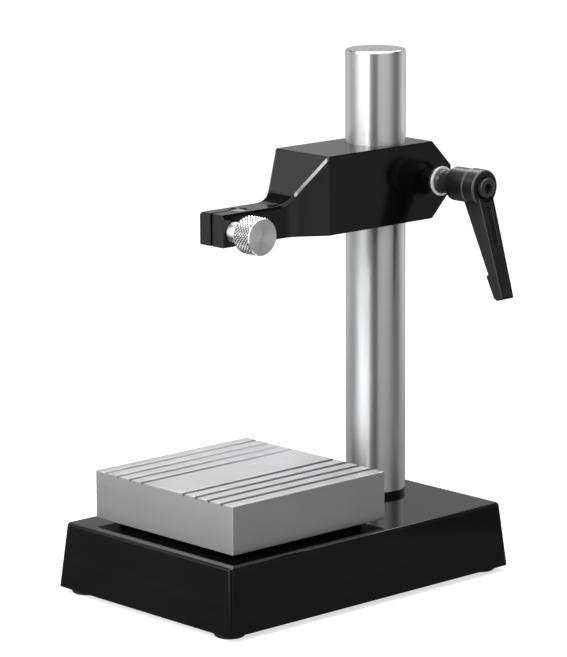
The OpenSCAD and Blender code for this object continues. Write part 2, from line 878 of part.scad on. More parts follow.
// Spring wire swept along a helix, as rings of points joined by triangles
module lever_spring() {
    steps_per_turn = 16;
    sides = 6;
    wire_r = spring_wire / 2;
    coil_r = keeper_d / 2 + hole_gap + wire_r;
    rise = spring_l - 2 * wire_r - 2 * set_gap;
    rings = ceil(spring_turns * steps_per_turn);
    function ring_point(i, j) =
        let (turn = 360 * spring_turns * i / rings, lean = 360 * j / sides, r = coil_r + wire_r * cos(lean))
            [r * cos(turn), r * sin(turn), wire_r + set_gap + rise * i / rings + wire_r * sin(lean)];
    points = [for (i = [0 : rings], j = [0 : sides - 1]) ring_point(i, j)];
    sides_faces = [
        for (i = [0 : rings - 1], j = [0 : sides - 1], half = [0, 1])
            let (
                a = i * sides + j, b = i * sides + (j + 1) % sides, c = a + sides, d = b + sides
            )
                half == 0 ? [a, b, c] : [b, d, c]
    ];
    first_end = [for (j = [1 : sides - 2]) [0, j + 1, j]];
    last = rings * sides;
    last_end = [for (j = [1 : sides - 2]) [last, last + j, last + j + 1]];
    color("#b9bbbd")
        at_lever()
            translate([web_end, 0, 0])
                along_x()
                    polyhedron(points, concat(sides_faces, first_end, last_end));
}

base();
foot_front_left();
foot_front_right();
foot_rear_left();
foot_rear_right();
foot_screws();
foot_washers();
table();
table_screws();
table_washers();
column();
column_bolt();
column_washer();
arm();
guide_bush();
thumb_screw();
clamp_washer();
clamp_insert();
lever_handle();
lever_screw();
lever_spring();
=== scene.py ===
import math
import bpy
from mathutils import Matrix, Vector


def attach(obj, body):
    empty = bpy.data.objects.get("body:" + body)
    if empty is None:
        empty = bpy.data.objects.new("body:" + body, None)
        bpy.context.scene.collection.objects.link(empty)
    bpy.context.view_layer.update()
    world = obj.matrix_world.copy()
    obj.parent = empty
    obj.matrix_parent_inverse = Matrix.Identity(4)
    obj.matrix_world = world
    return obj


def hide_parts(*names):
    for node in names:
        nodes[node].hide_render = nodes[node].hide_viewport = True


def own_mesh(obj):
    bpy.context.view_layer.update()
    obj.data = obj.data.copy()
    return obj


# looks for a dial indicator stand: black base, grooved steel table, ground column and clamp arm
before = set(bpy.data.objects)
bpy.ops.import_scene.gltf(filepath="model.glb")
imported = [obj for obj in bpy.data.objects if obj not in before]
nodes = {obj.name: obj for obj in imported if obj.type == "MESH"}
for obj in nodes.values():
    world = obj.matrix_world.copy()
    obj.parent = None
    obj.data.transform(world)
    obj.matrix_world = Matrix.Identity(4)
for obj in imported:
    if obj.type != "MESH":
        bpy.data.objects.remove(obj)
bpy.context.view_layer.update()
scene = bpy.context.scene
scene.view_settings.view_transform = "Standard"
mm = 0.001  # lengths in the dictionaries are millimetres, Blender works in metres
near = 0.02  # places closer than this count as one
mergeGap = 0.002  # points closer than this are merged
print("frame loaded:", len(nodes), "nodes")


# camera at the photograph's place
cameraSet = {
    "target": (14.69, -14.17, 132.1), "distance": 1751,
    "azimuth": 47.14, "elevation": 11.69, "roll": -0.28,
    "lens": 198.03, "sensor": 36, "clipEnd": 20000,
}


def placeCamera(s):
    around = math.radians(s["azimuth"])
    rise = math.radians(s["elevation"])
    back = Vector((math.sin(around) * math.cos(rise), -math.cos(around) * math.cos(rise), math.sin(rise)))
    right = Vector((math.cos(around), math.sin(around), 0))
    roll = Matrix.Rotation(math.radians(s["roll"]), 3, back)
    right = roll @ right
    up = back.cross(right)
    eye = (Vector(s["target"]) + back * s["distance"]) * mm
    data = bpy.data.cameras.new("photoCamera")
    data.lens = s["lens"]
    data.sensor_width = s["sensor"]
    data.clip_end = s["clipEnd"] * mm
    viewer = bpy.data.objects.new("photoCamera", data)
    scene.collection.objects.link(viewer)
    viewer.matrix_world = Matrix.Translation(eye) @ Matrix((right, up, back)).transposed().to_4x4()
    scene.camera = viewer


placeCamera(cameraSet)
print("camera placed")


# small tools used by every piece
def objectMode():
    if bpy.context.mode != "OBJECT":
        bpy.ops.object.mode_set(mode="OBJECT")


def deselectAll():
    objectMode()
    bpy.ops.object.select_all(action="DESELECT")


def makeActive(piece):
    deselectAll()
    piece.select_set(True)
    bpy.context.view_layer.objects.active = piece


def named(name):
    piece = bpy.context.object
    piece.name = name
    piece.data.name = name
    bpy.ops.object.transform_apply(location=True, rotation=True, scale=True)
    return piece


def newBlock(name, low, high):
    deselectAll()
    middle = [(a + b) / 2 * mm for a, b in zip(low, high)]
    sizes = [(b - a) * mm for a, b in zip(low, high)]
    bpy.ops.mesh.primitive_cube_add(size=1, location=middle, scale=sizes)
    return named(name)


turnToAxis = {"X": (0, math.pi / 2, 0), "Y": (math.pi / 2, 0, 0), "Z": (0, 0, 0)}


def newRod(name, radius, low, high, axis="Z", sides=96):
    deselectAll()
    middle = [(a + b) / 2 * mm for a, b in zip(low, high)]
    length = max(b - a for a, b in zip(low, high)) * mm
    bpy.ops.mesh.primitive_cone_add(
        vertices=sides, radius1=radius * mm, radius2=radius * mm, depth=length,
        location=middle, rotation=turnToAxis[axis])
    return named(name)


# opens edit mode with what passes the test selected
def pick(piece, kind, test):
    makeActive(piece)
    bpy.ops.object.mode_set(mode="EDIT")
    bpy.ops.mesh.select_mode(type=kind)
    bpy.ops.mesh.select_all(action="DESELECT")
    objectMode()
    mesh = piece.data
    items = {"VERT": mesh.vertices, "EDGE": mesh.edges, "FACE": mesh.polygons}[kind]
    for item in items:
        item.select = test(item)
    bpy.ops.object.mode_set(mode="EDIT")


def edgeEnds(piece, edge):
    a, b = (piece.data.vertices[i].co / mm for i in edge.vertices)
    return a, b


def carve(piece, cutter, how="DIFFERENCE"):
    makeActive(piece)
    bpy.ops.object.modifier_add(type="BOOLEAN")
    cut = piece.modifiers[-1]
    cut.operation = how
    cut.solver = "EXACT"
    cut.object = cutter
    bpy.ops.object.modifier_apply(modifier=cut.name)
    bpy.data.objects.remove(cutter, do_unlink=True)


def softenEdges(piece, width, segments=2, angle=30):
    makeActive(piece)
    bpy.ops.object.modifier_add(type="BEVEL")
    bevel = piece.modifiers[-1]
    bevel.width = width * mm
    bevel.segments = segments
    bevel.limit_method = "ANGLE"
    bevel.angle_limit = math.radians(angle)
    bpy.ops.object.modifier_apply(modifier=bevel.name)


# draws a run of points as by extruding one vertex again and again
def drawLine(name, points):
    deselectAll()
    points = [Vector(p) * mm for p in points]
    bpy.ops.mesh.primitive_plane_add(size=mm, location=points[0])
    piece = named(name)
    bpy.ops.object.mode_set(mode="EDIT")
    bpy.ops.mesh.select_mode(type="VERT")
    bpy.ops.mesh.select_all(action="SELECT")
    bpy.ops.mesh.merge(type="CENTER")
    for a, b in zip(points, points[1:]):
        bpy.ops.mesh.extrude_vertices_move(TRANSFORM_OT_translate={"value": b - a})
    return piece


# fills a drawn outline and pulls it out to a solid
def pulledOutline(name, points, pull):
    piece = drawLine(name, points)
    bpy.ops.mesh.select_all(action="SELECT")
    bpy.ops.mesh.edge_face_add()
    bpy.ops.mesh.extrude_region_move(TRANSFORM_OT_translate={"value": Vector(pull) * mm})
    bpy.ops.mesh.select_all(action="SELECT")
    bpy.ops.mesh.normals_make_consistent(inside=False)
    objectMode()
    return piece


# spins a profile of (place along the axis, radius) round an axis along Z or X
def turned(name, profile, centre, axis="Z", steps=128):
    along = Vector((1, 0, 0)) if axis == "X" else Vector((0, 0, 1))
    out = Vector((0, 0, 1)) if axis == "X" else Vector((1, 0, 0))
    centre = Vector(centre)
    piece = drawLine(name, [centre + along * place + out * radius for place, radius in profile])
    bpy.ops.mesh.select_all(action="SELECT")
    bpy.ops.mesh.spin(steps=steps, angle=2 * math.pi, center=centre * mm, axis=along)
    bpy.ops.mesh.select_all(action="SELECT")
    bpy.ops.mesh.remove_doubles(threshold=mergeGap * mm)
    bpy.ops.mesh.normals_make_consistent(inside=False)
    objectMode()
    return piece


# replaces each listed corner of a profile by a short arc; corners maps a point's number to its radius
def roundCorners(points, corners, pieces=4):
    rounded = []
    for i, point in enumerate(points):
        if i not in corners:
            rounded.append(point)
            continue
        here = Vector(point)
        before = (Vector(points[i - 1]) - here).normalized()
        after = (Vector(points[(i + 1) % len(points)]) - here).normalized()
        half = before.angle(after) / 2
        reach = corners[i] / math.tan(half)
        centre = here + (before + after).normalized() * corners[i] / math.sin(half)
        start = here + before * reach - centre
        end = here + after * reach - centre
        sweep = start.angle(end)
        for k in range(pieces + 1):
            t = k / pieces
            spoke = (start * math.sin((1 - t) * sweep) + end * math.sin(t * sweep)) / math.sin(sweep)
            rounded.append(tuple(centre + spoke))
    return rounded


def settle(piece, body, slotName, material, *replaced, angle=30):
    makeActive(piece)
    bpy.ops.object.shade_smooth_by_angle(angle=math.radians(angle))
    bpy.ops.object.modifier_add(type="WEIGHTED_NORMAL")
    piece.modifiers[-1].keep_sharp = True
    bpy.ops.object.modifier_apply(modifier=piece.modifiers[-1].name)
    piece.data.materials.clear()
    piece.data.materials.append(material)
    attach(piece, body)
    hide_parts(*replaced)
    print("piece ready:", piece.name, len(piece.data.polygons), "faces")


# node helpers
noiseRange = (0.3, 0.7)  # where most of a noise texture's values lie


def addNode(tree, kind, place=(0, 0), **inputs):
    node = tree.nodes.new(kind)
    node.location = place
    for name, value in inputs.items():
        node.inputs[name].default_value = value
    return node


def newGroup(name, inputs, outputs):
    tree = bpy.data.node_groups.new(name, "ShaderNodeTree")
    for label, kind, value in inputs:
        socket = tree.interface.new_socket(name=label, in_out="INPUT", socket_type=kind)
        socket.default_value = value
    for label, kind in outputs:
        tree.interface.new_socket(name=label, in_out="OUTPUT", socket_type=kind)
    start = addNode(tree, "NodeGroupInput", (-900, 0))
    end = addNode(tree, "NodeGroupOutput", (700, 0))
    return tree, start, end


# fine marks, stretched along one axis: ground, milled or cast skin
marksSet = {
    "scale": 400.0, "stretch": (1, 1, 1), "fineDetail": 4.0, "fineRoughness": 0.6,
    "broadScale": 38.0, "broadDetail": 3.0,
}


def makeMarksGroup(s):
    tree, start, end = newGroup(
        "surfaceMarks",
        [("Scale", "NodeSocketFloat", s["scale"]), ("Stretch", "NodeSocketVector", s["stretch"])],
        [("Height", "NodeSocketFloat"), ("Tint", "NodeSocketFloat")])
    place = addNode(tree, "ShaderNodeTexCoord", (-900, -300))
    stretch = addNode(tree, "ShaderNodeMapping", (-650, -100))
    fine = addNode(tree, "ShaderNodeTexNoise", (-400, 100), Detail=s["fineDetail"],
                   Roughness=s["fineRoughness"])
    broad = addNode(tree, "ShaderNodeTexNoise", (-400, -250), Scale=s["broadScale"], Detail=s["broadDetail"])
    tree.links.new(place.outputs["Object"], stretch.inputs["Vector"])
    tree.links.new(start.outputs["Stretch"], stretch.inputs["Scale"])
    tree.links.new(stretch.outputs["Vector"], fine.inputs["Vector"])
    tree.links.new(start.outputs["Scale"], fine.inputs["Scale"])
    tree.links.new(place.outputs["Object"], broad.inputs["Vector"])
    tree.links.new(fine.outputs["Fac"], end.inputs["Height"])
    tree.links.new(broad.outputs["Fac"], end.inputs["Tint"])
    return tree


marksGroup = makeMarksGroup(marksSet)


def addMarks(tree, place, scale, stretch):
    node = addNode(tree, "ShaderNodeGroup", place)
    node.node_tree = marksGroup
    node.inputs["Scale"].default_value = scale
    node.inputs["Stretch"].default_value = stretch
    return node


# maps a value from one span to another
def between(tree, place, value, low, high, span=noiseRange):
    node = addNode(tree, "ShaderNodeMapRange", place)
    node.inputs["From Min"].default_value = span[0]
    node.inputs["From Max"].default_value = span[1]
    node.inputs["To Min"].default_value = low
    node.inputs["To Max"].default_value = high
    tree.links.new(value, node.inputs["Value"])
    return node.outputs["Result"]


def mathNode(tree, kind, first, second):
    node = tree.nodes.new("ShaderNodeMath")
    node.operation = kind
    for socket, value in zip(node.inputs, (first, second)):
        if isinstance(value, (int, float)):
            socket.default_value = value
        else:
            tree.links.new(value, socket)
    return node.outputs[0]


def blendColours(tree, place, mask, first, second):
    node = addNode(tree, "ShaderNodeMix", place)
    node.data_type = "RGBA"
    node.inputs["A"].default_value = (*first, 1)
    node.inputs["B"].default_value = (*second, 1)
    tree.links.new(mask, node.inputs["Factor"])
    return node.outputs["Result"]


# every finish is one principled shader fed by the marks group
def newFinish(name, s):
    material = bpy.data.materials.new(name)
    material.use_nodes = True
    tree = material.node_tree
    shader = tree.nodes["Principled BSDF"]
    shader.inputs["Metallic"].default_value = s.get("metallic", 0.0)
    shader.inputs["Specular IOR Level"].default_value = s.get("specular", 0.5)
    shader.inputs["Anisotropic"].default_value = s.get("brushed", 0.0)
    shader.inputs["Anisotropic Rotation"].default_value = s.get("brushTurn", 0.0)
    if "turnedRound" in s:
        tangent = addNode(tree, "ShaderNodeTangent", (-300, -550))
        tangent.direction_type = "RADIAL"
        tangent.axis = s["turnedRound"]
        tree.links.new(tangent.outputs["Tangent"], shader.inputs["Tangent"])
    marks = addMarks(tree, (-800, 0), s["scale"], s["stretch"])
    colour = blendColours(tree, (-400, 250), between(tree, (-600, 300), marks.outputs["Tint"], 0, 1),
                          s["colour"], s["colour2"])
    rough = between(tree, (-400, -50), marks.outputs["Height"], *s["roughness"])
    bump = addNode(tree, "ShaderNodeBump", (-300, -300), Strength=s["bump"], Distance=s["depth"] * mm)
    tree.links.new(colour, shader.inputs["Base Color"])
    tree.links.new(rough, shader.inputs["Roughness"])
    tree.links.new(marks.outputs["Height"], bump.inputs["Height"])
    tree.links.new(bump.outputs["Normal"], shader.inputs["Normal"])
    return material


finishes = {
    "basePaint": {
        "colour": (0.0012, 0.0012, 0.0013), "colour2": (0.0022, 0.0022, 0.0024), "roughness": (0.07, 0.12),
        "specular": 0.36, "scale": 420.0, "stretch": (1, 1, 1), "bump": 0.08, "depth": 0.02},
    "footRubber": {
        "colour": (0.008, 0.008, 0.008), "colour2": (0.016, 0.016, 0.016), "roughness": (0.55, 0.75),
        "specular": 0.3, "scale": 900.0, "stretch": (1, 1, 1), "bump": 0.4, "depth": 0.1},
    "groundSteel": {
        "colour": (0.62, 0.62, 0.63), "colour2": (0.66, 0.66, 0.67), "roughness": (0.33, 0.38),
        "metallic": 1.0, "scale": 1400.0, "stretch": (0.05, 0.05, 1.4), "bump": 0.2, "depth": 0.01},
    # groove walls: milled steel, less rough, with painted shade in its darker colour
    "grooveSteelShaded": {
        "colour": (0.55, 0.55, 0.56), "colour2": (0.6, 0.6, 0.61), "roughness": (0.28, 0.32),
        "metallic": 1.0, "scale": 1400.0, "stretch": (1, 0.05, 1), "bump": 0.1, "depth": 0.01},
    "columnSteel": {
        "colour": (0.7, 0.705, 0.71), "colour2": (0.74, 0.745, 0.75), "roughness": (0.3, 0.315),
        "brushed": 1.0, "brushTurn": 0.25, "turnedRound": "Z",
        "metallic": 1.0, "scale": 300.0, "stretch": (0.2, 0.2, 8.0), "bump": 0.004, "depth": 0.001},
    "columnEnd": {
        "colour": (0.56, 0.565, 0.57), "colour2": (0.6, 0.605, 0.61), "roughness": (0.19, 0.22),
        "metallic": 1.0, "scale": 700.0, "stretch": (1, 1, 1), "bump": 0.01, "depth": 0.002},
    "armBlack": {
        "colour": (0.0012, 0.0012, 0.0013), "colour2": (0.0024, 0.0024, 0.0026), "roughness": (0.1, 0.13),
        "specular": 0.5, "scale": 900.0, "stretch": (1.0, 0.08, 1.0), "bump": 0.03, "depth": 0.006},
    "boredAluminium": {
        "colour": (0.82, 0.82, 0.83), "colour2": (0.88, 0.88, 0.89), "roughness": (0.46, 0.56),
        "metallic": 1.0, "scale": 600.0, "stretch": (1, 1, 6), "bump": 0.08, "depth": 0.01},
    "bushBronze": {
        "colour": (0.42, 0.3, 0.14), "colour2": (0.5, 0.37, 0.18), "roughness": (0.3, 0.45),
        "metallic": 1.0, "scale": 500.0, "stretch": (1, 1, 4), "bump": 0.1, "depth": 0.02},
    # second colour: painted shade for the knurl's valleys
    "knurledSteel": {
        "colour": (0.7, 0.7, 0.71), "colour2": (0.12, 0.12, 0.12), "roughness": (0.2, 0.28),
        "metallic": 1.0, "scale": 900.0, "stretch": (1, 1, 1), "bump": 0.03, "depth": 0.005},
    "turnedSteel": {
        "colour": (0.8, 0.8, 0.81), "colour2": (0.86, 0.86, 0.87), "roughness": (0.32, 0.38),
        "brushed": 0.7, "brushTurn": 0.25, "turnedRound": "X",
        "metallic": 1.0, "scale": 900.0, "stretch": (1, 1, 1), "bump": 0.03, "depth": 0.005},
    "brightSteel": {
        "colour": (0.86, 0.86, 0.87), "colour2": (0.92, 0.92, 0.93), "roughness": (0.3, 0.4),
        "metallic": 0.35, "scale": 900.0, "stretch": (1, 1, 1), "bump": 0.03, "depth": 0.005},
    "leverCoat": {
        "colour": (0.004, 0.004, 0.0042), "colour2": (0.007, 0.007, 0.0073), "roughness": (0.27, 0.35),
        "specular": 0.38, "scale": 1500.0, "stretch": (1, 1, 1), "bump": 0.2, "depth": 0.02},
    # lighter colour for the lever's edge faces: a painted highlight
    "leverEdgeHighlight": {
        "colour": (0.045, 0.045, 0.046), "colour2": (0.065, 0.065, 0.066), "roughness": (0.27, 0.35),
        "specular": 0.6, "scale": 1500.0, "stretch": (1, 1, 1), "bump": 0.2, "depth": 0.02},
    "blackSteel": {
        "colour": (0.012, 0.012, 0.0125), "colour2": (0.02, 0.02, 0.021), "roughness": (0.26, 0.38),
        "specular": 0.7, "scale": 900.0, "stretch": (1, 1, 1), "bump": 0.1, "depth": 0.02},
    "zincSteel": {
        "colour": (0.5, 0.51, 0.53), "colour2": (0.6, 0.61, 0.63), "roughness": (0.3, 0.45),
        "metallic": 1.0, "scale": 700.0, "stretch": (1, 1, 1), "bump": 0.12, "depth": 0.02},
}
materials = {name: newFinish(name, s) for name, s in finishes.items()}
print("materials ready:", len(materials))


# base casting
baseSet = {
    "low": (-63.4, -93.9, 2.5), "high": (63.4, 93.9, 35.0), "topHalf": (60.31, 90.81),
    "cornerR": 2.2, "edgeR": 1.3, "rimR": 0.5, "segments": 6,
    "hollow": (51.5, 82.0, 24.0), "hollowR": 2.0, "hollowFoot": -10, "bossFoot": -12, "bossPast": 5,
    "cutFoot": -1, "upward": 0.9,
    "feet": (52.3, 84.6), "footBoss": 10.5, "footR": 7.6, "footTop": 6.5,
    "columnY": 62.5, "columnBoss": 20.0, "columnBossZ": 5.5, "boltR": 12.5, "boltTop": 19.9,
    "seatTop": 37.3, "seatHalf": 42.0, "tableY": -30.0, "columnSeatR": 14.9,
    "seatRoot": 4, "tableSeatSoft": 0.3, "columnSeatSoft": 0.2,
}


def fourCorners(x, y):
    return [(sx * x, sy * y) for sx in (-1, 1) for sy in (-1, 1)]


def makeBase(s):
    low, high = Vector(s["low"]), Vector(s["high"])
    base = newBlock("baseCasting", low, high)
    pick(base, "FACE", lambda face: face.normal.z > s["upward"])
    shrink = (s["topHalf"][0] / high.x, s["topHalf"][1] / high.y, 1)
    bpy.ops.transform.resize(value=shrink, center_override=(0, 0, high.z * mm))
    objectMode()

    def upright(edge):
        a, b = edgeEnds(base, edge)
        return abs(a.z - b.z) > (high.z - low.z) / 2

    def rim(edge, z):
        a, b = edgeEnds(base, edge)
        return abs(a.z - z) < near and abs(b.z - z) < near

    pick(base, "EDGE", upright)
    bpy.ops.mesh.bevel(offset=s["cornerR"] * mm, segments=s["segments"], affect="EDGES")
    pick(base, "EDGE", lambda edge: rim(edge, high.z))
    bpy.ops.mesh.bevel(offset=s["edgeR"] * mm, segments=s["segments"], affect="EDGES", clamp_overlap=True)
    pick(base, "EDGE", lambda edge: rim(edge, low.z))
    bpy.ops.mesh.bevel(offset=s["rimR"] * mm, segments=2, affect="EDGES")

    # hollow below, left solid at the bosses
    x, y, top = s["hollow"]
    hollow = newBlock("hollow", (-x, -y, s["hollowFoot"]), (x, y, top))
    above = top + s["bossPast"]
    for fx, fy in fourCorners(*s["feet"]):
        r = s["footBoss"]
        carve(hollow, newBlock("boss", (fx - r, fy - r, s["bossFoot"]), (fx + r, fy + r, above)))
    r, columnY = s["columnBoss"], s["columnY"]
    carve(hollow, newBlock("boss", (-r, columnY - r, s["columnBossZ"]), (r, columnY + r, above)))
    softenEdges(hollow, s["hollowR"], 3)
    carve(base, hollow)
    for fx, fy in fourCorners(*s["feet"]):
        carve(base, newRod("pocket", s["footR"], (fx, fy, s["cutFoot"]), (fx, fy, s["footTop"])))
    carve(base, newRod("counterbore", s["boltR"], (0, columnY, s["cutFoot"]), (0, columnY, s["boltTop"])))

    # machined seats on top
    half, tableY, root = s["seatHalf"], s["tableY"], high.z - s["seatRoot"]
    seat = newBlock("seat", (-half, tableY - half, root), (half, tableY + half, s["seatTop"]))
    softenEdges(seat, s["tableSeatSoft"])
    carve(base, seat, "UNION")
    seat = newRod("seat", s["columnSeatR"], (0, columnY, root), (0, columnY, s["seatTop"]))
    softenEdges(seat, s["columnSeatSoft"])
    carve(base, seat, "UNION")
    settle(base, "base", "base_paint", materials["basePaint"], "base")


makeBase(baseSet)


# four rubber feet, turned once and copied
footSet = {
    "names": ("foot_front_left", "foot_front_right", "foot_rear_left", "foot_rear_right"),
    "places": ((-52.3, -84.6), (52.3, -84.6), (-52.3, 84.6), (52.3, 84.6)),
    "profile": [(0, 4.6), (0, 7.5), (6.5, 7.5), (6.5, 2.1), (4.1, 2.1), (4.1, 4.6), (0, 4.6)],
    "edgeR": 1.2, "steps": 64,
}


def makeFeet(s):
    profile = roundCorners(s["profile"], {1: s["edgeR"]}, 5)
    first = turned("footFirst", profile, (0, 0, 0), steps=s["steps"])
    for node, (x, y) in zip(s["names"], s["places"]):
        foot = first.copy()
        foot.data = first.data.copy()
        foot.name = foot.data.name = node.replace("foot_", "rubberFoot_")
        scene.collection.objects.link(foot)
        makeActive(foot)
        bpy.ops.transform.translate(value=(x * mm, y * mm, 0))
        bpy.ops.object.transform_apply(location=True, rotation=True, scale=True)
        settle(foot, "base", "foot_rubber", materials["footRubber"], node)
    bpy.data.objects.remove(first, do_unlink=True)


makeFeet(footSet)


# grooved measuring table
tableSet = {
    "low": (-50, -80, 37.3), "high": (50, 20, 61.3), "bevel": 0.5,
    "grooves": (15, 24, 33, 42), "grooveDepth": 1.5, "proud": 2.0, "past": 2, "lip": 0.08,
    "wallSlack": 0.1, "wallFacing": (0.6, 0.8), "endOn": 0.1,
}


def makeTable(s):
    low, high = s["low"], s["high"]
    table = newBlock("grooveTable", low, high)
    pick(table, "EDGE", lambda edge: True)
    bpy.ops.mesh.bevel(offset=s["bevel"] * mm, segments=2, affect="EDGES")
    objectMode()
    lift, depth, past = high[2] + s["proud"], s["grooveDepth"], s["past"]
    for side in (-1, 1):
        for place in s["grooves"]:
            carve(table, newRod("groove", depth + s["proud"], (side * place, low[1] - past, lift),
                                (side * place, high[1] + past, lift), "Y", 4))
    lips = [place + side * depth for place in s["grooves"] for side in (-1, 1)]

    def grooveLip(edge):
        a, b = edgeEnds(table, edge)
        offLip = min(abs(abs(a.x) - lip) for lip in lips)
        return abs(a.x - b.x) < near and offLip < near and min(a.z, b.z) > high[2] - near

    def grooveWall(face):
        inside = high[2] - depth - s["wallSlack"] < face.center.z / mm < high[2] - s["wallSlack"]
        least, most = s["wallFacing"]
        return inside and least < abs(face.normal.x) < most and abs(face.normal.y) < s["endOn"]

    pick(table, "EDGE", grooveLip)
    bpy.ops.mesh.bevel(offset=s["lip"] * mm, segments=2, affect="EDGES")
    objectMode()
    settle(table, "base", "ground_steel", materials["groundSteel"], "table")
    # the groove walls take the darker finish: painted shade in the grooves, on a milled surface
    table.data.materials.append(materials["grooveSteelShaded"])
    for face in table.data.polygons:
        face.material_index = int(grooveWall(face))


makeTable(tableSet)


# round column
columnSet = {
    "centre": (0, 62.5, 0), "radius": 15.0, "foot": 37.3, "top": 260.3, "topR": 1.3, "footBevel": 0.45,
    "steps": 160, "smooth": 25, "endFacing": 0.99,
}


def makeColumn(s):
    r, low = s["radius"], s["footBevel"]
    profile = [(s["foot"], 0), (s["foot"], r - low), (s["foot"] + low, r), (s["top"], r), (s["top"], 0)]
    profile = roundCorners(profile, {3: s["topR"]}, 8)
    column = turned("groundColumn", profile, s["centre"], steps=s["steps"])
    settle(column, "base", "column_steel", materials["columnSteel"], "column", angle=s["smooth"])
    column.data.materials.append(materials["columnEnd"])
    for face in column.data.polygons:
        face.material_index = int(abs(face.normal.z) > s["endFacing"])


makeColumn(columnSet)


# split clamp arm
armSet = {
    "bottom": 174.8, "top": 213.8, "noseTop": 190.8, "noseEnd": -47.2, "half": 19.2, "noseHalf": 8.5,
    "slopeFoot": -5.3, "slopeTop": 12.5, "taperFoot": -3.3, "back": 96.5, "backBevel": 13.0,
    "filletR": 13.0, "crestR": 0.3, "segments": 8,
    "edge": 0.5, "noseEdge": 1.35, "lowEdge": 0.4, "slopeEdge": (1.05, 1.45), "backEdge": (0.5, 0.7),
    "footRun": (4, 3), "crestRun": (1, 0.4), "backRun": 0.3,
    "softR": 0.15, "endSoft": 0.2, "endStep": 0.09, "endShare": 0.3,
    "columnY": 62.5, "lipR": 15.3, "boreR": 16.3, "lip": 3.0, "mouthSoft": 0.3, "slit": 0.8, "past": 1,
    "stemY": -30.0, "stemR": 4.0, "stemFlare": 0.8, "boreSlack": 0.05, "boreFacing": 0.5,
    "thumb": (-40.55, 182.1), "thumbR": 2.75, "thumbReach": 20, "thumbSides": 48,
    "stud": (89.2, 193.2), "studR": 4.5, "studReach": 40, "studSides": 64,
    "boreSteps": 128, "stemSteps": 64, "smooth": 32,
}


# value of a profile of (place, value) points at one place
def readAlong(profile, place):
    for (a, u), (b, v) in zip(profile, profile[1:]):
        if a <= place <= b:
            return u + (v - u) * (place - a) / (b - a)
    return profile[-1][1]


# closed outlines bridged one to the next, with both ends filled
def bridged(name, outlines):
    loops = []
    for outline in outlines:
        loop = drawLine(name, outline + outline[:1])
        bpy.ops.mesh.select_all(action="SELECT")
        bpy.ops.mesh.remove_doubles(threshold=mergeGap * mm)
        objectMode()
        loops.append(loop)
    deselectAll()
    for loop in loops:
        loop.select_set(True)
    bpy.context.view_layer.objects.active = loops[0]
    bpy.ops.object.join()
    piece = bpy.context.object
    bpy.ops.object.mode_set(mode="EDIT")
    bpy.ops.mesh.select_all(action="SELECT")
    bpy.ops.mesh.bridge_edge_loops()
    for outline in (outlines[0], outlines[-1]):
        level = outline[0][1]
        pick(piece, "VERT", lambda vertex: abs(vertex.co.y / mm - level) < near)
        bpy.ops.mesh.edge_face_add()
    bpy.ops.mesh.select_all(action="SELECT")
    bpy.ops.mesh.normals_make_consistent(inside=False)
    objectMode()
    return piece


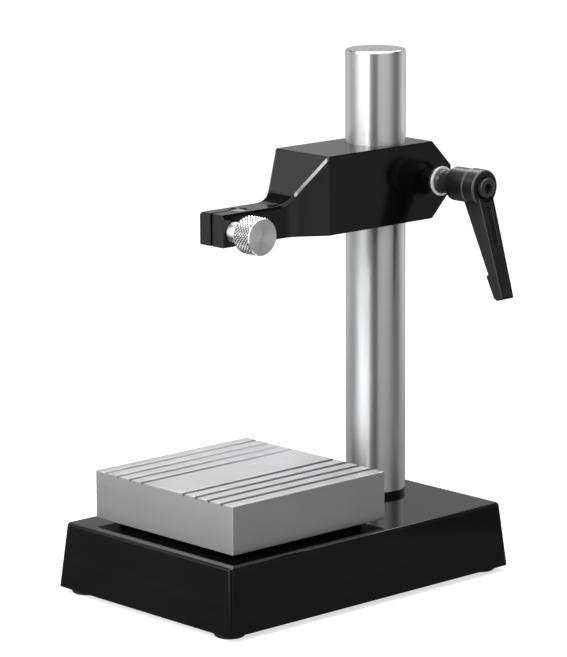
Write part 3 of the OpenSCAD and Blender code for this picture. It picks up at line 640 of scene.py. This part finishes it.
def makeArm(s):
    bevel, nose, back, pieces = s["backBevel"], s["noseEnd"], s["back"], s["segments"]
    foot, crest, turn = s["slopeFoot"], s["slopeTop"], s["back"] - s["backBevel"]
    top = roundCorners([(nose, s["noseTop"]), (foot, s["noseTop"]), (crest, s["top"]), (turn, s["top"]),
                        (back, s["top"] - bevel)], {1: s["filletR"], 2: s["crestR"], 3: s["crestR"]}, pieces)
    bottom = roundCorners([(nose, s["bottom"]), (turn, s["bottom"]), (back, s["bottom"] + bevel)],
                          {1: s["crestR"]}, pieces)
    plan = roundCorners([(nose, s["noseHalf"]), (s["taperFoot"], s["noseHalf"]), (crest, s["half"]),
                         (back, s["half"])], {1: s["filletR"], 2: s["crestR"]}, pieces)

    # the upper edges' chamfer along the arm, across and down
    edge, noseEdge, run = s["edge"], s["noseEdge"], s["backRun"]
    chamfer = []
    for slopeEdge, backEdge in zip(s["slopeEdge"], s["backEdge"]):
        chamfer.append([
            (nose, noseEdge), (foot - s["footRun"][0], noseEdge), (foot + s["footRun"][1], slopeEdge),
            (crest - s["crestRun"][0], slopeEdge), (crest + s["crestRun"][1], edge),
            (turn - run, edge), (turn + run, backEdge), (back, backEdge)])
    places = {round(y, 2) for profile in (top, bottom, plan, chamfer[0]) for y, value in profile}
    soft, step = s["endSoft"], s["endStep"]
    part = soft * s["endShare"]
    ends = {nose: soft, nose + step: part, nose + soft: 0, back: soft, back - step: part, back - soft: 0}
    places |= set(ends)

    sections = []
    for y in sorted(places):
        shrink = ends.get(y, 0)
        w = readAlong(plan, y) - shrink
        low, high = readAlong(bottom, y) + shrink, readAlong(top, y) - shrink
        cx, cz, b = readAlong(chamfer[0], y), readAlong(chamfer[1], y), s["lowEdge"]
        outline = [(-w + b, low), (w - b, low), (w, low + b), (w, high - cz),
                   (w - cx, high), (-w + cx, high), (-w, high - cz), (-w, low + b)]
        outline = roundCorners(outline, {k: s["softR"] for k in range(len(outline))}, 2)
        sections.append([(x, y, z) for x, z in outline])
    arm = bridged("clampArm", sections)

    # column bore with its lips, stem bore, slits and screw holes
    past, slit = s["past"], s["slit"]
    low, high, y = s["bottom"] - past, s["top"] + past, s["columnY"]
    r, soft, lip = s["lipR"], s["mouthSoft"], s["lip"]
    bore = [(low, 0), (low, r + soft + past), (s["bottom"] + soft, r), (s["bottom"] + lip, r),
            (s["bottom"] + lip, s["boreR"]), (s["top"] - lip, s["boreR"]), (s["top"] - lip, r),
            (s["top"] - soft, r), (high, r + soft + past), (high, 0)]
    carve(arm, turned("columnBore", bore, (0, y, 0), steps=s["boreSteps"]))
    carve(arm, newBlock("slit", (-slit, y, low), (slit, back + past, high)))
    high, y, r, flare = s["noseTop"] + past, s["stemY"], s["stemR"], s["stemFlare"]
    stem = [(low, 0), (low, r + flare + past), (s["bottom"] + flare, r), (s["noseTop"] - flare, r),
            (high, r + flare + past), (high, 0)]
    carve(arm, turned("stemBore", stem, (0, y, 0), steps=s["stemSteps"]))
    carve(arm, newBlock("slit", (-slit, nose - past, low), (slit, y, high)))
    reach, (y, z) = s["thumbReach"], s["thumb"]
    carve(arm, newRod("thumbHole", s["thumbR"], (-reach, y, z), (reach, y, z), "X", s["thumbSides"]))
    reach, (y, z) = s["studReach"], s["stud"]
    carve(arm, newRod("studHole", s["studR"], (-reach, y, z), (reach, y, z), "X", s["studSides"]))
    settle(arm, "arm", "arm_aluminium", materials["armBlack"], "arm", angle=s["smooth"])
    arm.data.materials.append(materials["boredAluminium"])
    for face in arm.data.polygons:
        place = face.center / mm
        inStem = Vector((place.x, place.y - s["stemY"])).length < s["stemR"] + s["boreSlack"]
        inBore = Vector((place.x, place.y - s["columnY"])).length < s["boreR"] + s["boreSlack"]
        face.material_index = int((inStem or inBore) and abs(face.normal.z) < s["boreFacing"])


makeArm(armSet)


# knurled thumb screw
thumbSet = {
    "centre": (0, -40.55, 182.1), "tip": -7.5, "studR": 2.5, "neckStart": 8.5, "neckR": 5.0,
    "headStart": 18.0, "headEnd": 29.0, "headR": 9.35, "bevel": 0.6, "tipBevel": 0.4, "neckBevel": 0.3,
    "rows": 11, "around": 30, "knurl": 0.35, "knurlSlack": 0.5, "shade": (0.2, 0.44), "smooth": 25,
}


# the knurl's valleys, which run as two crossing helices, take the finish's second, darker colour: painted
# shade in the valleys
def paintKnurlShade(material, s, start, step):
    tree = material.node_tree
    place = addNode(tree, "ShaderNodeTexCoord", (-1900, 600))
    centred = addNode(tree, "ShaderNodeMapping", (-1700, 600))
    centred.inputs["Location"].default_value = -Vector(s["centre"]) * mm
    parts = addNode(tree, "ShaderNodeSeparateXYZ", (-1500, 600))
    tree.links.new(place.outputs["Object"], centred.inputs["Vector"])
    tree.links.new(centred.outputs["Vector"], parts.inputs["Vector"])
    turn = mathNode(tree, "ARCTAN2", parts.outputs["Z"], parts.outputs["Y"])
    turn = mathNode(tree, "MULTIPLY", turn, s["around"] / (2 * math.pi))
    row = mathNode(tree, "SUBTRACT", parts.outputs["X"], start * mm)
    row = mathNode(tree, "DIVIDE", row, 2 * step * mm)
    one = mathNode(tree, "PINGPONG", mathNode(tree, "ADD", turn, row), 0.5)
    other = mathNode(tree, "PINGPONG", mathNode(tree, "SUBTRACT", turn, row), 0.5)
    valleyShade = between(tree, (-700, 600), mathNode(tree, "MAXIMUM", one, other), 0, 1, s["shade"])
    tree.links.new(valleyShade, tree.nodes["Mix"].inputs["Factor"])


def makeThumb(s):
    start, end = s["headStart"] + s["bevel"], s["headEnd"] - s["bevel"]
    root = s["headR"] - s["knurl"]
    step = (end - start) / s["rows"]
    band = [(start + i * step, root) for i in range(s["rows"] + 1)]
    rim = s["headR"] - s["bevel"]
    tip, neck = s["tipBevel"], s["neckBevel"]
    profile = [(s["tip"], 0), (s["tip"], s["studR"] - tip), (s["tip"] + tip, s["studR"]),
               (s["neckStart"], s["studR"]), (s["neckStart"], s["neckR"] - neck),
               (s["neckStart"] + neck, s["neckR"]), (s["headStart"], s["neckR"]), (s["headStart"], rim)]
    profile += band + [(s["headEnd"], rim), (s["headEnd"], 0)]
    thumb = turned("thumbScrew", profile, s["centre"], "X", s["around"] * 2)
    centre = Vector(s["centre"])

    def raised(vertex):
        place = vertex.co / mm - centre
        if not start + step / 2 < place.x < end - step / 2:
            return False
        turn = math.atan2(place.z, place.y) / (2 * math.pi) * s["around"] * 2
        row = round((place.x - start) / step)
        return (round(turn) + row) % 2 == 0

    pick(thumb, "VERT", raised)
    bpy.ops.transform.shrink_fatten(value=s["knurl"] * mm)
    pick(thumb, "FACE", lambda face: start < face.center.x / mm < end)
    bpy.ops.mesh.quads_convert_to_tris(quad_method="SHORTEST_DIAGONAL")
    objectMode()
    settle(thumb, "thumb_screw", "knurled_steel", materials["turnedSteel"], "thumb_screw", angle=s["smooth"])
    paintKnurlShade(materials["knurledSteel"], s, start, step)
    thumb.data.materials.append(materials["knurledSteel"])
    for face in thumb.data.polygons:
        place = face.center / mm - centre
        face.material_index = int(start < place.x < end and place.yz.length > root - s["knurlSlack"])


makeThumb(thumbSet)


# bright washer under the clamp lever
washerSet = {
    "centre": (0, 89.2, 193.2), "start": 19.2, "end": 20.4, "outerR": 7.4, "innerR": 4.5, "edge": 0.3,
    "steps": 96,
}


def makeWasher(s):
    profile = [(s["start"], s["innerR"]), (s["start"], s["outerR"]), (s["end"], s["outerR"]),
               (s["end"], s["innerR"]), (s["start"], s["innerR"])]
    profile = roundCorners(profile, {1: s["edge"], 2: s["edge"]}, 3)
    washer = turned("clampWasher", profile, s["centre"], "X", s["steps"])
    settle(washer, "arm", "bright_steel", materials["brightSteel"], "clamp_washer")


makeWasher(washerSet)


# adjustable clamp lever
leverSet = {
    "centre": (0, 89.2, 193.2), "mouth": 27.6, "mouthR": 6.3, "coneEnd": 30.5, "hubR": 8.5,
    "headStart": 41.4, "headR": 9.0, "headEnd": 50.0, "headEdge": 1.2, "stepEdge": 0.48, "stepRing": 1.6,
    "neckR": 5.65, "neckEnd": 31.0, "toothR": 5.15, "toothEnd": 34.9, "webR": 3.25, "webEnd": 37.9,
    "boreR": 5.51, "front": 49.4, "length": 56.0, "tilt": 17.5, "widthHub": 10.8, "widthTip": 8.8,
    "thickHub": 11.2, "thickTip": 4.0, "padStart": 42.5, "pad": 1.6, "tipBevel": 1.6,
    "soft": 0.4, "frontSoft": 0.8, "mouthSoft": 0.25, "coneSoft": 0.6, "boreSoft": 0.3, "slack": 0.1,
    "recess": (9.5, 29.0), "recessY": 0.15, "recessW": 3.4, "recessDepth": 1.1, "recessPast": 2,
    "recessSoft": 0.4, "recessLip": 0.4, "inside": (20, 70),
    "steps": 96, "smooth": 32, "ringFacing": (0.25, 0.9), "edgeFacing": (0.4, 0.75),
}


def makeLever(s):
    y, z = s["centre"][1:]
    tilt = math.radians(s["tilt"])
    hub = [(s["mouth"], s["neckR"]), (s["mouth"], s["mouthR"]), (s["coneEnd"], s["hubR"]),
           (s["headStart"], s["hubR"]), (s["headStart"], s["headR"]),
           (s["headStart"] + s["stepRing"], s["headR"]), (s["headEnd"], s["headR"]),
           (s["headEnd"], s["boreR"]), (s["webEnd"], s["boreR"]), (s["webEnd"], s["webR"]),
           (s["toothEnd"], s["webR"]), (s["toothEnd"], s["toothR"]), (s["neckEnd"], s["toothR"]),
           (s["neckEnd"], s["neckR"]), (s["mouth"], s["neckR"])]
    rounds = {1: s["mouthSoft"], 2: s["coneSoft"], 4: s["stepEdge"], 6: s["headEdge"], 7: s["boreSoft"]}
    hub = roundCorners(hub, rounds, 5)
    lever = turned("clampLever", hub, s["centre"], "X", s["steps"])

    # the arm is drawn as distance down the lever and depth behind its front face
    def spot(down, depth, across=0.0):
        return (s["front"] - depth * math.cos(tilt) + down * math.sin(tilt), y + across,
                z - depth * math.sin(tilt) - down * math.cos(tilt))

    length, tip = s["length"], s["tipBevel"]
    slim = (s["thickHub"] - s["thickTip"]) / length
    atPad = s["thickHub"] - slim * s["padStart"]
    outline = [(0, 0), (length - tip / 2, 0), (length, tip / 2), (length, s["thickTip"] + s["pad"] - tip),
               (length - tip, s["thickTip"] + s["pad"]), (s["padStart"], atPad + s["pad"]),
               (s["padStart"], atPad), (0, s["thickHub"])]
    half = s["widthHub"] / 2
    handle = pulledOutline("handle", [spot(*p, -half) for p in outline], (0, 2 * half, 0))
    narrow = 1 - (1 - s["widthTip"] / s["widthHub"]) * s["padStart"] / length

    def downAt(place):
        return (place.x - s["front"]) * math.sin(tilt) - (place.z - z) * math.cos(tilt)

    pick(handle, "VERT", lambda vertex: downAt(vertex.co / mm) > length - tip - s["slack"])
    bpy.ops.transform.resize(value=(1, s["widthTip"] / s["widthHub"], 1), center_override=(0, y * mm, 0))
    pick(handle, "VERT", lambda vertex: abs(downAt(vertex.co / mm) - s["padStart"]) < s["slack"])
    bpy.ops.transform.resize(value=(1, narrow, 1), center_override=(0, y * mm, 0))
    objectMode()

    def depthAt(place):
        return (s["front"] - place.x) * math.cos(tilt) + (z - place.z) * math.sin(tilt)

    def longFrontEdge(edge):
        a, b = edgeEnds(handle, edge)
        return abs(depthAt(a)) < near and abs(depthAt(b)) < near and (a - b).length > length / 2

    pick(handle, "EDGE", longFrontEdge)
    bpy.ops.mesh.bevel(offset=s["frontSoft"] * mm, segments=4, affect="EDGES")
    objectMode()
    softenEdges(handle, s["soft"], 2, 40)
    start, end = s["recess"]
    wide, past = s["recessW"] / 2, -s["recessPast"]
    side = s["recessY"] - wide
    recess = pulledOutline("recess", [spot(start, past, side), spot(end, past, side),
                                      spot(end, s["recessDepth"], side),
                                      spot(start, s["recessDepth"], side)], (0, 2 * wide, 0))
    softenEdges(recess, s["recessSoft"], 3, 30)
    carve(handle, recess)

    def recessMouth(edge):
        a, b = edgeEnds(handle, edge)
        inside = all(abs(p.y - y - s["recessY"]) < wide + s["slack"] for p in (a, b))
        onFront = abs(depthAt(a)) < near and abs(depthAt(b)) < near
        return inside and onFront and min(downAt(a), downAt(b)) > start / 2

    pick(handle, "EDGE", recessMouth)
    bpy.ops.mesh.bevel(offset=s["recessLip"] * mm, segments=3, affect="EDGES")
    objectMode()
    inWall = (s["boreR"] + s["hubR"]) / 2  # the handle's root ends inside the hub's wall
    left, right = s["inside"]
    carve(handle, newRod("hubInside", inWall, (left, y, z), (right, y, z), "X", s["steps"]))
    carve(lever, handle, "UNION")
    settle(lever, "lever", "lever_coat", materials["leverCoat"], "lever_handle", angle=s["smooth"])

    # the head's step ring, its front ring and the arm's front edges take a lighter colour: a painted
    # highlight
    def onHighlightEdge(face):
        place = face.center / mm
        out = Vector((place.y - y, place.z - z)).length
        stepRing = 0 <= place.x - s["headStart"] < s["stepRing"] and s["hubR"] < out < s["headR"]
        least, most = s["ringFacing"]
        frontRing = s["headR"] - s["headEdge"] < out < s["headR"] and least < face.normal.x < most
        onArm = downAt(place) > s["headR"] and -near < depthAt(place) < s["frontSoft"]
        least, most = s["edgeFacing"]
        onArm = onArm and least < abs(face.normal.y) < most
        return stepRing or (frontRing and place.x > s["headStart"]) or onArm

    lever.data.materials.append(materials["leverEdgeHighlight"])
    for face in lever.data.polygons:
        face.material_index = int(onHighlightEdge(face))


makeLever(leverSet)


# keeper screw in the lever's head
screwSet = {
    "centre": (0, 89.2, 193.2), "end": 24.6, "shankR": 3.0, "seat": 46.13, "top": 52.13, "headR": 5.01,
    "edge": 0.6, "tipBevel": 0.75, "socketR": 2.7, "socketDepth": 3.0, "past": 2, "steps": 96,
}


def makeScrew(s):
    tip = s["tipBevel"]
    profile = [(s["end"], 0), (s["end"], s["shankR"] - tip), (s["end"] + tip, s["shankR"]),
               (s["seat"], s["shankR"]), (s["seat"], s["headR"]), (s["top"], s["headR"]), (s["top"], 0)]
    profile = roundCorners(profile, {5: s["edge"]}, 4)
    screw = turned("keeperScrew", profile, s["centre"], "X", s["steps"])
    y, z = s["centre"][1:]
    floor, mouth = s["top"] - s["socketDepth"], s["top"] + s["past"]
    carve(screw, newRod("socket", s["socketR"], (floor, y, z), (mouth, y, z), "X", 6))
    settle(screw, "clamp_stud", "black_steel", materials["blackSteel"], "lever_screw")


makeScrew(screwSet)


# spring under the keeper screw's head
springSet = {
    "centre": (89.2, 193.2), "start": 38.02, "end": 46.02, "wire": 0.9, "coilR": 3.94, "turns": 3.5,
    "sides": 10, "steps": 84, "keep": 0.5, "smooth": 60,
}


def makeSpring(s):
    y, z = s["centre"]
    thick = s["wire"] / 2
    deselectAll()
    bpy.ops.mesh.primitive_circle_add(vertices=s["sides"], radius=thick * mm, rotation=(math.pi / 2, 0, 0),
                                      location=((s["start"] + thick) * mm, 0, s["coilR"] * mm))
    spring = named("leverSpring")
    bpy.ops.object.modifier_add(type="SCREW")
    screw = spring.modifiers[-1]
    screw.axis = "X"
    screw.angle = 2 * math.pi * s["turns"]
    screw.screw_offset = (s["end"] - s["start"] - s["wire"]) * mm
    screw.steps = s["steps"]
    screw.render_steps = s["steps"]
    bpy.ops.object.modifier_apply(modifier=screw.name)
    pick(spring, "VERT", lambda vertex: True)
    bpy.ops.mesh.fill_holes(sides=s["sides"])
    bpy.ops.mesh.normals_make_consistent(inside=False)
    bpy.ops.transform.translate(value=(0, y * mm, z * mm))
    objectMode()
    settle(spring, "clamp_stud", "zinc_steel", materials["zincSteel"], "lever_spring", angle=s["smooth"])
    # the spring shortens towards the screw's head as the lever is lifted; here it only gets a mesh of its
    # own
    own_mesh(spring)


makeSpring(springSet)


# pieces that keep their frame shape get a finish
keptFinish = {
    "foot_screws": "zincSteel", "foot_washers": "zincSteel", "table_screws": "blackSteel",
    "table_washers": "zincSteel", "column_bolt": "blackSteel", "column_washer": "zincSteel",
    "guide_bush": "bushBronze", "clamp_insert": "blackSteel",
}
for node, finish in keptFinish.items():
    nodes[node].material_slots[0].material = materials[finish]
print("finishes on kept nodes:", len(keptFinish))


# floor, lights and reflection cards
studioSet = {
    "floorSize": 12000, "floorColour": 0.45, "floorGlow": 0.67, "worldLight": 0.8, "worldWhite": 1.0,
}


# 1 for the camera, for mirror images and through glass, 0 for other light
def whiteForView(tree, place):
    path = addNode(tree, "ShaderNodeLightPath", place)
    seen = mathNode(tree, "MAXIMUM", path.outputs["Is Camera Ray"], path.outputs["Is Glossy Ray"])
    return mathNode(tree, "MAXIMUM", seen, path.outputs["Is Transmission Ray"])


def makeFloor(s):
    deselectAll()
    bpy.ops.mesh.primitive_plane_add(size=s["floorSize"] * mm, location=(0, 0, 0))
    floor = named("floor")
    material = bpy.data.materials.new("paleFloor")
    material.use_nodes = True
    tree = material.node_tree
    tree.nodes.remove(tree.nodes["Principled BSDF"])
    matt = addNode(tree, "ShaderNodeBsdfDiffuse", (-200, 0), Color=(s["floorColour"],) * 3 + (1,))
    glow = addNode(tree, "ShaderNodeEmission", (-200, -150), Color=(1, 1, 1, 1))
    strength = between(tree, (-400, -200), whiteForView(tree, (-1100, -200)), 0, s["floorGlow"], (0, 1))
    tree.links.new(strength, glow.inputs["Strength"])
    both = addNode(tree, "ShaderNodeAddShader", (50, 0))
    tree.links.new(matt.outputs[0], both.inputs[0])
    tree.links.new(glow.outputs[0], both.inputs[1])
    # seen from below, the floor lets the underside of the stand show
    facing = addNode(tree, "ShaderNodeNewGeometry", (50, 250))
    clear = addNode(tree, "ShaderNodeBsdfTransparent", (50, -150))
    seen = addNode(tree, "ShaderNodeMixShader", (250, 0))
    tree.links.new(facing.outputs["Backfacing"], seen.inputs[0])
    tree.links.new(both.outputs[0], seen.inputs[1])
    tree.links.new(clear.outputs[0], seen.inputs[2])
    tree.links.new(seen.outputs[0], tree.nodes["Material Output"].inputs["Surface"])
    floor.data.materials.append(material)


def makeWorld(s):
    world = bpy.data.worlds.new("studio")
    scene.world = world
    world.use_nodes = True
    world.cycles.sampling_method = "NONE"
    tree = world.node_tree
    sky = tree.nodes["Background"]
    sky.inputs["Color"].default_value = (1, 1, 1, 1)
    forView = whiteForView(tree, (-1000, 0))
    strength = between(tree, (-300, 0), forView, s["worldLight"], s["worldWhite"], (0, 1))
    tree.links.new(strength, sky.inputs["Strength"])


# lamps: azimuth from the camera's direction, positive to the camera's right
lampAim = Vector((0, 0, 100))
lampSet = {
    "key": {"azimuth": -31.6, "distance": 868, "height": 673, "size": (220, 220), "power": 2.7},
    "overhead": {"azimuth": 0, "distance": 20, "height": 1150, "size": (500, 500), "power": 3.2},
    "side": {"azimuth": -65, "distance": 1300, "height": 1250, "size": (1500, 500), "power": 9.0},
    "strip": {"azimuth": -50, "distance": 800, "height": 250, "size": (380, 420), "power": 3.8},
    "top": {"azimuth": 180, "distance": 500, "height": 900, "size": (900, 700), "power": 10.0},
}


def around(azimuth, distance, height):
    angle = math.radians(cameraSet["azimuth"] + azimuth)
    return Vector((math.sin(angle) * distance, -math.cos(angle) * distance, height))


def makeLamp(name, s):
    data = bpy.data.lights.new(name, "AREA")
    data.shape = "RECTANGLE"
    data.size, data.size_y = s["size"][0] * mm, s["size"][1] * mm
    data.energy = s["power"]
    lamp = bpy.data.objects.new(name, data)
    scene.collection.objects.link(lamp)
    lamp.location = around(s["azimuth"], s["distance"], s["height"]) * mm
    aim = lampAim * mm - lamp.location
    lamp.rotation_euler = aim.to_track_quat("-Z", "Y").to_euler()
    lamp.visible_camera = False


# what only reflections see glows in plain greys
def greyGlow(name, piece, level):
    material = bpy.data.materials.new(name)
    material.use_nodes = True
    tree = material.node_tree
    tree.nodes.remove(tree.nodes["Principled BSDF"])
    glow = addNode(tree, "ShaderNodeEmission", (-200, 0), Color=(1, 1, 1, 1), Strength=level)
    tree.links.new(glow.outputs[0], tree.nodes["Material Output"].inputs["Surface"])
    piece.data.materials.append(material)
    piece.visible_camera = False
    piece.visible_diffuse = False
    piece.visible_shadow = False
    return tree, glow


# surround that runs along the floor and then up, shaded round the column by azimuth from the camera
surroundSet = {
    "centre": (0, 62.5), "near": 60, "far": 430, "low": 0.4, "tall": 420, "steps": 72, "brightest": 1.35,
    "shades": [(-180, 0.45), (-150, 0.45), (-140, 0.8), (-116, 0.6), (-93, 0.58), (-82, 0.74), (-71, 1.1),
               (-58, 1.35), (-44, 1.35), (-34, 0.95), (-27, 0.5), (-19, 0.32), (-11, 0.06), (-4, 0.0),
               (3, 0.06), (14, 0.66), (46, 0.64), (58, 0.42), (71, 0.28), (91, 0.24), (102, 0.5),
               (115, 0.7), (130, 0.85), (146, 0.65), (152, 0.45)],
}


def makeSurround(s):
    centre = Vector((*s["centre"], 0))
    steps = ((s["near"], s["low"]), (s["far"], s["low"]), (s["far"], s["tall"]))
    wall = drawLine("surround", [centre + around(0, reach, rise) for reach, rise in steps])
    bpy.ops.mesh.select_all(action="SELECT")
    bpy.ops.mesh.spin(steps=s["steps"], angle=2 * math.pi, center=centre * mm, axis=(0, 0, 1))
    bpy.ops.mesh.select_all(action="SELECT")
    bpy.ops.mesh.remove_doubles(threshold=mergeGap * mm)
    objectMode()
    tree, glow = greyGlow("surround", wall, s["brightest"])
    coords = addNode(tree, "ShaderNodeTexCoord", (-1200, 0))
    turn = addNode(tree, "ShaderNodeMapping", (-1000, 0))
    turn.vector_type = "TEXTURE"
    turn.inputs["Location"].default_value = centre * mm
    turn.inputs["Rotation"].default_value = (0, 0, math.radians(cameraSet["azimuth"] - 90))
    sweep = addNode(tree, "ShaderNodeTexGradient", (-800, 0))
    sweep.gradient_type = "RADIAL"
    ramp = addNode(tree, "ShaderNodeValToRGB", (-600, 0))
    stops = ramp.color_ramp.elements
    stops.remove(stops[1])
    for k, (azimuth, level) in enumerate(s["shades"]):
        place = 0.5 + azimuth / 360
        stop = stops.new(place) if k else stops[0]
        stop.position = place
        grey = level / s["brightest"]
        stop.color = (grey, grey, grey, 1)
    tree.links.new(coords.outputs["Object"], turn.inputs["Vector"])
    tree.links.new(turn.outputs["Vector"], sweep.inputs["Vector"])
    tree.links.new(sweep.outputs["Fac"], ramp.inputs["Fac"])
    tree.links.new(ramp.outputs["Color"], glow.inputs["Color"])


# dark flags above the surround, for the fillet at the arm's slope and for the table's grooves
flagSet = {
    "flagLeft": {"from": -172, "to": -118, "reach": 430, "low": 425, "tall": 820, "level": 0.04},
    "flagRight": {"from": 84, "to": 138, "reach": 430, "low": 340, "tall": 900, "level": 0.03},
}
flagSteps = 8


def makeFlag(name, s):
    flag = drawLine(name, [around(s["to"], s["reach"], s["low"]), around(s["to"], s["reach"], s["tall"])])
    bpy.ops.mesh.select_all(action="SELECT")
    sweep = math.radians(s["to"] - s["from"])  # spin turns clockwise seen from above
    bpy.ops.mesh.spin(steps=flagSteps, angle=sweep, center=(0, 0, 0), axis=(0, 0, 1))
    objectMode()
    greyGlow(name, flag, s["level"])


# boards on the floor that the table's and the base's upright faces mirror
boardSet = {
    "boardFrontNear": {"low": (-330, -205), "high": (66, -95), "rise": 0.8, "level": 0.38},
    "boardFrontLeft": {"low": (-420, -400), "high": (-185, -205), "rise": 0.8, "level": 0.52},
    "boardFrontRight": {"low": (-185, -400), "high": (-75, -205), "rise": 0.8, "level": 0.2},
    "boardRight": {"low": (66, -95), "high": (430, 330), "rise": 0.8, "level": 0.08},
}


def makeBoard(name, s):
    deselectAll()
    low, high = s["low"], s["high"]
    bpy.ops.mesh.primitive_plane_add(
        size=1, location=((low[0] + high[0]) / 2 * mm, (low[1] + high[1]) / 2 * mm, s["rise"] * mm),
        scale=((high[0] - low[0]) * mm, (high[1] - low[1]) * mm, 1))
    greyGlow(name, named(name), s["level"])


makeFloor(studioSet)
makeWorld(studioSet)
for name, s in lampSet.items():
    makeLamp(name, s)
makeSurround(surroundSet)
for name, s in flagSet.items():
    makeFlag(name, s)
for name, s in boardSet.items():
    makeBoard(name, s)
deselectAll()
print("studio ready")
